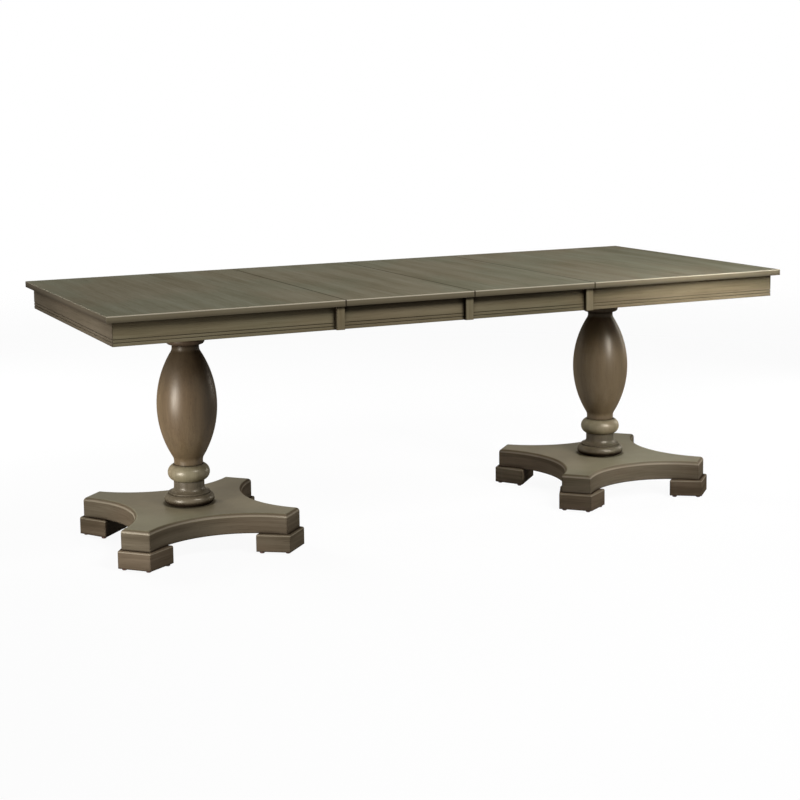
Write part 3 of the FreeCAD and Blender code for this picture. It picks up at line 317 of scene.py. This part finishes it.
def stained_wood(name, axis, colours, seed, gloss, top_colours=None, gloss_up=None, rim=0.0,
                 roughness=0.34, glaze_and_shade=0.97, glaze_and_shade_reach=0.030, rubbed_and_highlight=0.5, inked=0.0, edge_width=0.0025,
                 contrast=1.0, panel=False, rounded_edge_wear_and_highlight=0.0, shaded_above=None, sheen_shaded_above=None,
                 beads_below=None, bare_below=False):
    """Open-pored wood under a grey-brown stain: grain, mottling, dark glazing and painted shade in hollows,
    arrises lightened by wear and by painted highlight.
    """
    material, tree = new_graph(name)
    place = object_coordinates(tree)
    height = part_of(tree, place, "Z")
    normal = surface_normal(tree)
    normal_x = part_of(tree, normal, "X")
    normal_z = part_of(tree, normal, "Z")
    shift = tuple(seed * step for step in STAINED_SHIFT)
    broad, streaks, fibres, mottle, pores, patches = (
        grain_layer(tree, place, axis, shift, layer)
        for layer in (BROAD, STREAKS, FIBRES, MOTTLE, PORES, PATCHES))

    # Grain, warm and cool patches, and pores, which a layered board has on its sides alone
    grain = weighted(tree, (broad, BROAD_SHARE), (streaks, STREAK_SHARE), (fibres, FIBRE_SHARE),
                     (mottle, MOTTLE_SHARE))
    spread = GRAIN_SPREAD / contrast
    stain_range = (GRAIN_MIDDLE - spread, GRAIN_MIDDLE + spread)
    colour = three_colours(tree, grain, colours, *stain_range)
    # A second colour set for upward faces; on the base it is part painted sheen
    if top_colours:
        upward = three_colours(tree, grain, top_colours, *stain_range)
        colour = mix_colour(tree, ramp_value(tree, normal_z, *TOP_FACE), colour, upward)
    tint = mix_colour(tree, ramp_value(tree, patches, *PATCH_RANGE), COOL_TINT, WARM_TINT)
    colour = mix_colour(tree, 1.0, colour, tint, "MULTIPLY")
    pore_depth = PORE_GLAZE
    if len(axis) > 1:
        pore_depth = ramp_value(tree, size_of(tree, normal_z), *SIDE_FACE, 0.0, PORE_GLAZE)
    pore_mask = times(tree, ramp_value(tree, pores, *PORE_RANGE), pore_depth)
    colour = mix_colour(tree, pore_mask, colour, GLAZE_AND_SHADE)

    # Painted shade high up, wear and painted highlight on the edges, and glazing with painted shade in the
    # hollows
    # Painted shade: the turned wood darkens towards its top, where the table's top shades it
    if shaded_above:
        colour = mix_colour(tree, ramp_value(tree, height, *shaded_above, 0.0, SHADE_ABOVE_SHARE), colour, GLAZE_AND_SHADE)
    if panel:
        colour = panel_edges(tree, colour, height, normal_x, normal_z)
    crevice = crevice_mask(tree, glaze_and_shade_reach)
    # Less glazing and painted shade in the bead grooves low on the rails
    if beads_below:
        crevice = times(tree, crevice, ramp_value(tree, height, *beads_below, BEAD_GLAZE_AND_SHADE, 1.0))
    # Upper edges and round-overs lightened: part wear, part painted highlight
    upper_edge, other_edge = edge_masks(tree, edge_width)
    worn_and_highlight = times(tree, upper_edge, rubbed_and_highlight)
    worn_and_highlight = times(tree, worn_and_highlight, ramp_value(tree, mottle, *WORN_RANGE, LEAST_WEAR, 1.0))
    worn_and_highlight = times(tree, worn_and_highlight, math_node(tree, "SUBTRACT", 1.0, crevice))
    colour = mix_colour(tree, worn_and_highlight, colour, RUBBED_AND_HIGHLIGHT)
    if rounded_edge_wear_and_highlight:
        rounding = times(tree, ramp_value(tree, normal_z, *ROUNDING_START),
                         ramp_value(tree, normal_z, *ROUNDING_END))
        colour = mix_colour(tree, times(tree, rounding, rounded_edge_wear_and_highlight), colour, RUBBED_AND_HIGHLIGHT)
    if inked:
        colour = mix_colour(tree, times(tree, other_edge, inked), colour, GLAZE_AND_SHADE)
    # Glazing and painted shade in hollows, in joints and under the top's overhang
    colour = mix_colour(tree, times(tree, crevice, glaze_and_shade), colour, GLAZE_AND_SHADE)
    if panel:
        colour = mix_colour(tree, times(tree, seam_mask(tree, place), SEAM_SHARE), colour, SEAM_GLAZE)
    if bare_below:
        bare = three_colours(tree, grain, BARE, *BARE_RANGE)
        colour = mix_colour(tree, ramp_value(tree, normal_z, *UNDERSIDE), colour, bare)

    # Stain under a thin lacquer
    relief = math_node(tree, "SUBTRACT", times(tree, fibres, FIBRE_RELIEF), pore_mask)
    bump = bumped(tree, relief, STAINED_BUMP, WOOD_RELIEF_DEPTH)
    stain = add(tree, "ShaderNodeBsdfPrincipled", {
        "Base Color": colour, "Roughness": STAIN_ROUGHNESS, "Normal": bump, "Specular IOR Level": 0.0})
    sheen = ramp_value(tree, fibres, *FIBRE_RANGE, roughness - SHEEN_BELOW, roughness + SHEEN_ABOVE)
    lacquer = add(tree, "ShaderNodeBsdfGlossy", {"Color": LACQUER, "Roughness": sheen, "Normal": bump})
    share = gloss_share(tree, gloss, gloss_up, rim, sheen_shaded_above, height, normal_z, crevice)
    finish = add(tree, "ShaderNodeMixShader", {0: share, 1: stain.outputs[0], 2: lacquer.outputs[0]})
    add(tree, "ShaderNodeOutputMaterial", {"Surface": finish.outputs[0]})
    return material


def plain_wood(name, axis, seed, tone):
    """Unstained wood for the hidden pieces."""
    material, tree = new_graph(name)
    place = object_coordinates(tree)
    shift = tuple(seed * step for step in BARE_SHIFT)
    broad = grain_layer(tree, place, axis, shift, BARE_BROAD)
    fibres = grain_layer(tree, place, axis, shift, BARE_FIBRES)
    grain = weighted(tree, (broad, BARE_BROAD_SHARE), (fibres, BARE_FIBRE_SHARE))
    shades = [[channel * tone for channel in shade[:3]] + [1] for shade in BARE]
    colour = three_colours(tree, grain, shades, *BARE_RANGE)
    # Painted shade in the hollows of the hidden pieces
    shaded_hollows = times(tree, crevice_mask(tree, BARE_SHADE_REACH), BARE_CREVICE_SHADE)
    colour = mix_colour(tree, shaded_hollows, colour, GLAZE_AND_SHADE)
    shader = add(tree, "ShaderNodeBsdfPrincipled", {
        "Base Color": colour, "Roughness": ramp_value(tree, fibres, *FIBRE_RANGE, *BARE_ROUGHNESS),
        "Normal": bumped(tree, fibres, BARE_BUMP, WOOD_RELIEF_DEPTH)})
    add(tree, "ShaderNodeOutputMaterial", {"Surface": shader.outputs[0]})
    return material


def speckled(name, dark, light, scale, roughness, metallic=0.0):
    """Moulded plastic or plated steel with fine uneven colour and gloss."""
    material, tree = new_graph(name)
    fine = noise(tree, object_coordinates(tree), scale, SPECKLE_DETAIL, SPECKLE_NOISE_ROUGHNESS)
    uneven_gloss = ramp_value(tree, fine, *SPECKLE_RANGE, roughness - SPECKLE_GLOSS_SPREAD,
                              roughness + SPECKLE_GLOSS_SPREAD)
    shader = add(tree, "ShaderNodeBsdfPrincipled", {
        "Base Color": mix_colour(tree, ramp_value(tree, fine, *SPECKLE_RANGE), dark, light),
        "Metallic": metallic, "Roughness": uneven_gloss,
        "Normal": bumped(tree, fine, SPECKLE_BUMP, SPECKLE_DEPTH)})
    add(tree, "ShaderNodeOutputMaterial", {"Surface": shader.outputs[0]})
    return material


# Finishes of the table's pieces

BEADS_BELOW = (0.700, 0.712)

top_finish = stained_wood("top_veneer", "Y", VENEER, 1.0, gloss=0.009, rubbed_and_highlight=0.3, contrast=1.25,
                          panel=True, bare_below=True)
long_rail_finish = stained_wood("apron_wood_long", "X", APRON, 2.0, gloss=0.006, glaze_and_shade=0.85,
                                glaze_and_shade_reach=0.024, rubbed_and_highlight=0.2, inked=0.6, beads_below=BEADS_BELOW)
end_rail_finish = stained_wood("apron_wood_end", "Y", END_APRON_SHADED, 3.0, gloss=0.006, glaze_and_shade=0.85,
                               glaze_and_shade_reach=0.024, rubbed_and_highlight=0.2, inked=0.6, beads_below=BEADS_BELOW)
strip_finish = stained_wood("apron_wood_strip", "Z", APRON, 4.0, gloss=0.006, rubbed_and_highlight=0.5, inked=0.4)
collar_finish = stained_wood("collar_wood", "Z", COLLAR_SHADED, 8.0, gloss=0.010, roughness=0.38,
                             glaze_and_shade_reach=0.045, rubbed_and_highlight=0.0)
vase_finish = stained_wood("vase_wood", "Z", TURNED, 5.0, gloss=0.031, rim=0.12, roughness=0.36,
                           glaze_and_shade_reach=0.045, rubbed_and_highlight=0.0, shaded_above=(0.44, 0.56),
                           sheen_shaded_above=(0.57, 0.61))
ring_finish = stained_wood("ring_wood", "Z", RING_WORN_AND_LIT, 9.0, gloss=0.036, rim=0.12, roughness=0.33,
                           glaze_and_shade_reach=0.030, rubbed_and_highlight=0.0)
plinth_finish = stained_wood("plinth_wood", "Z", PLINTH, 10.0, gloss=0.032, rim=0.15, roughness=0.33,
                             glaze_and_shade_reach=0.030, rubbed_and_highlight=0.2)
base_finish = stained_wood("base_wood", "XY", BASE, 6.0, gloss=0.008, top_colours=BASE_TOP_AND_SHEEN,
                           gloss_up=0.070, glaze_and_shade=0.6, glaze_and_shade_reach=0.014, rubbed_and_highlight=0.35, inked=0.8,
                           edge_width=0.006, rounded_edge_wear_and_highlight=0.34, contrast=1.5, bare_below=True)
foot_finish = stained_wood("foot_wood", "XY", BASE, 7.0, gloss=0.006, glaze_and_shade_reach=0.016, rubbed_and_highlight=0.3,
                           inked=0.8, edge_width=0.005, rounded_edge_wear_and_highlight=0.34, contrast=1.5, bare_below=True)
slide_finish = plain_wood("slide_wood", "X", seed=1.0, tone=1.1)
block_finish = plain_wood("plain_wood", "X", seed=2.0, tone=0.85)
gear_finish = speckled("gear_plastic", (0.50, 0.47, 0.40, 1), (0.62, 0.59, 0.52, 1), scale=60.0,
                       roughness=0.45)
steel_finish = speckled("steel", (0.42, 0.42, 0.44, 1), (0.58, 0.58, 0.60, 1), scale=120.0,
                        roughness=0.35, metallic=1.0)
glide_finish = speckled("glide_plastic", (0.060, 0.020, 0.012, 1), (0.090, 0.032, 0.020, 1), scale=200.0,
                        roughness=0.40)

FINISHES = {
    "top": top_finish, "end_rail": end_rail_finish, "front_rail": long_rail_finish,
    "back_rail": long_rail_finish, "joint_strips": strip_finish, "corner_blocks": block_finish,
    "glue_blocks": block_finish, "front_runner": slide_finish, "back_runner": slide_finish,
    "front_centre_runner": slide_finish, "back_centre_runner": slide_finish, "racks": gear_finish,
    "front_pinion": gear_finish, "back_pinion": gear_finish, "screws": steel_finish,
    "alignment_pins": block_finish, "mounting_plate": block_finish, "collar": collar_finish,
    "vase": vase_finish, "ring": ring_finish, "column_base": plinth_finish, "base_plate": base_finish,
    "feet": foot_finish, "glides": glide_finish, "tie_rod": steel_finish, "tie_nuts": steel_finish,
    "pinion_axles": steel_finish,
}
SECTION_NAMES = ("left_", "right_", "leaf_a_", "leaf_b_")

for node_name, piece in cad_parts.items():
    section = next((lead for lead in SECTION_NAMES if node_name.startswith(lead)), "")
    finish = FINISHES[node_name[len(section):]]
    for material_slot in piece.material_slots:
        material_slot.material = finish


# Camera at the photograph's viewpoint

CAMERA_PLACE = Vector((-2.204, -4.620, 1.336))
CAMERA_AZIMUTH = math.radians(24.36)
CAMERA_ELEVATION = math.radians(7.22)
CAMERA_ROLL = math.radians(-0.81)
CAMERA_SENSOR = 36.0
CAMERA_LENS = 73.485
CAMERA_SHIFT = (0.035, -0.125)

level_right = Vector((math.cos(CAMERA_AZIMUTH), -math.sin(CAMERA_AZIMUTH), 0))
ahead = Vector((math.sin(CAMERA_AZIMUTH) * math.cos(CAMERA_ELEVATION),
                math.cos(CAMERA_AZIMUTH) * math.cos(CAMERA_ELEVATION), -math.sin(CAMERA_ELEVATION)))
level_up = level_right.cross(ahead)
right = level_right * math.cos(CAMERA_ROLL) + level_up * math.sin(CAMERA_ROLL)
up = level_up * math.cos(CAMERA_ROLL) - level_right * math.sin(CAMERA_ROLL)
camera_turn = Matrix((right, up, -ahead)).transposed()

camera_data = bpy.data.cameras.new("camera")
camera_data.sensor_width = CAMERA_SENSOR
camera_data.lens = CAMERA_LENS
camera_data.shift_x, camera_data.shift_y = CAMERA_SHIFT
camera = bpy.data.objects.new("camera", camera_data)
camera.matrix_world = Matrix.Translation(CAMERA_PLACE) @ camera_turn.to_4x4()
scene.collection.objects.link(camera)
scene.camera = camera


# Floor, world and lamps

FLOOR_RADIUS = 14.0
FLOOR_SIDES = 96
FLOOR_FADE = (3.0, 7.0)
FLOOR_WHITE_SHARE = 0.94
FLOOR_AS_LIT = (0.22, 0.22, 0.22, 1)
FLOOR_AS_SEEN = (0.92, 0.92, 0.92, 1)
WORLD_FILL = 0.01


def seen_directly(tree):
    """1 for rays from the camera, from reflections and through glass, 0 for light on its way."""
    path = add(tree, "ShaderNodeLightPath")
    seen = math_node(tree, "MAXIMUM", path.outputs["Is Camera Ray"], path.outputs["Is Glossy Ray"])
    return math_node(tree, "MAXIMUM", seen, path.outputs["Is Transmission Ray"])


def make_floor():
    """A pale floor that keeps a soft shadow and fades into the background far from the table."""
    bpy.ops.mesh.primitive_circle_add(vertices=FLOOR_SIDES, radius=FLOOR_RADIUS, fill_type="NGON")
    floor = bpy.context.object
    floor.name = "floor"
    material, tree = new_graph("pale_floor")
    seen = seen_directly(tree)
    colour = mix_colour(tree, seen, FLOOR_AS_LIT, FLOOR_AS_SEEN)
    lit = add(tree, "ShaderNodeBsdfDiffuse", {"Color": colour}).outputs[0]
    white = add(tree, "ShaderNodeEmission", {"Color": WHITE, "Strength": 1.0}).outputs[0]
    white_share = times(tree, seen, FLOOR_WHITE_SHARE)
    pale = add(tree, "ShaderNodeMixShader", {0: white_share, 1: lit, 2: white}).outputs[0]
    clear = add(tree, "ShaderNodeBsdfTransparent").outputs[0]
    distance = add(tree, "ShaderNodeVectorMath", {0: object_coordinates(tree)}, operation="LENGTH")
    clear_share = ramp_value(tree, distance.outputs["Value"], *FLOOR_FADE)
    surface = add(tree, "ShaderNodeMixShader", {0: clear_share, 1: pale, 2: clear}).outputs[0]
    add(tree, "ShaderNodeOutputMaterial", {"Surface": surface})
    floor.data.materials.append(material)


def make_world():
    """White behind the table and in its reflections, and a soft even fill for its light."""
    world = bpy.data.worlds.new("studio")
    world.use_nodes = True
    tree = world.node_tree
    tree.nodes.clear()
    strength = ramp_value(tree, seen_directly(tree), 0.0, 1.0, WORLD_FILL, 1.0)
    sky = add(tree, "ShaderNodeBackground", {"Color": WHITE, "Strength": strength})
    add(tree, "ShaderNodeOutputWorld", {"Surface": sky.outputs[0]})
    scene.world = world


def softbox(name, place, target, size, watts, spread=180, mirrored=True, lights_only=None):
    """A rectangular studio lamp aimed at a point, with a grid where its spread is small.

    A lamp that isn't mirrored gives no highlights, and one with a list of pieces is flagged off the others.
    """
    lamp = bpy.data.lights.new(name, "AREA")
    lamp.shape = "RECTANGLE"
    lamp.size, lamp.size_y = size
    lamp.energy = watts
    lamp.spread = math.radians(spread)
    holder = bpy.data.objects.new(name, lamp)
    holder.location = place
    holder.rotation_euler = (Vector(target) - Vector(place)).to_track_quat("-Z", "Y").to_euler()
    holder.visible_camera = False
    holder.visible_glossy = mirrored
    scene.collection.objects.link(holder)
    if lights_only:
        receivers = bpy.data.collections.new(name + "_receivers")
        for piece in lights_only:
            receivers.objects.link(piece)
        holder.light_linking.receiver_collection = receivers


make_floor()
make_world()
left_half = [piece for node_name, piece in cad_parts.items() if node_name.startswith("left_")]
softbox("left_strip", place=(-2.21, -0.73, 0.44), target=(-0.726, -0.05, 0.24), size=(0.6, 0.65),
        watts=5.1, spread=60, lights_only=left_half)
softbox("front_key", place=(0.65, -2.4, 2.9), target=(0.2, -0.4, 0.6), size=(1.3, 1.1), watts=101)
softbox("right_vase_grid", place=(1.05, -1.9, 1.15), target=(0.75, 0.0, 0.34), size=(0.5, 0.6),
        watts=1.7, spread=32)
softbox("right_fill", place=(3.0, 0.6, 0.9), target=(0.8, 0.0, 0.4), size=(0.8, 1.2), watts=30)
softbox("back_left", place=(-2.0, 3.0, 1.7), target=(0.0, 0.3, 0.5), size=(1.6, 1.2), watts=95,
        mirrored=False)
softbox("back_high", place=(1.2, 2.3, 2.9), target=(0.3, 0.2, 0.5), size=(1.6, 0.8), watts=28,
        mirrored=False)

scene.view_settings.view_transform = "Standard"
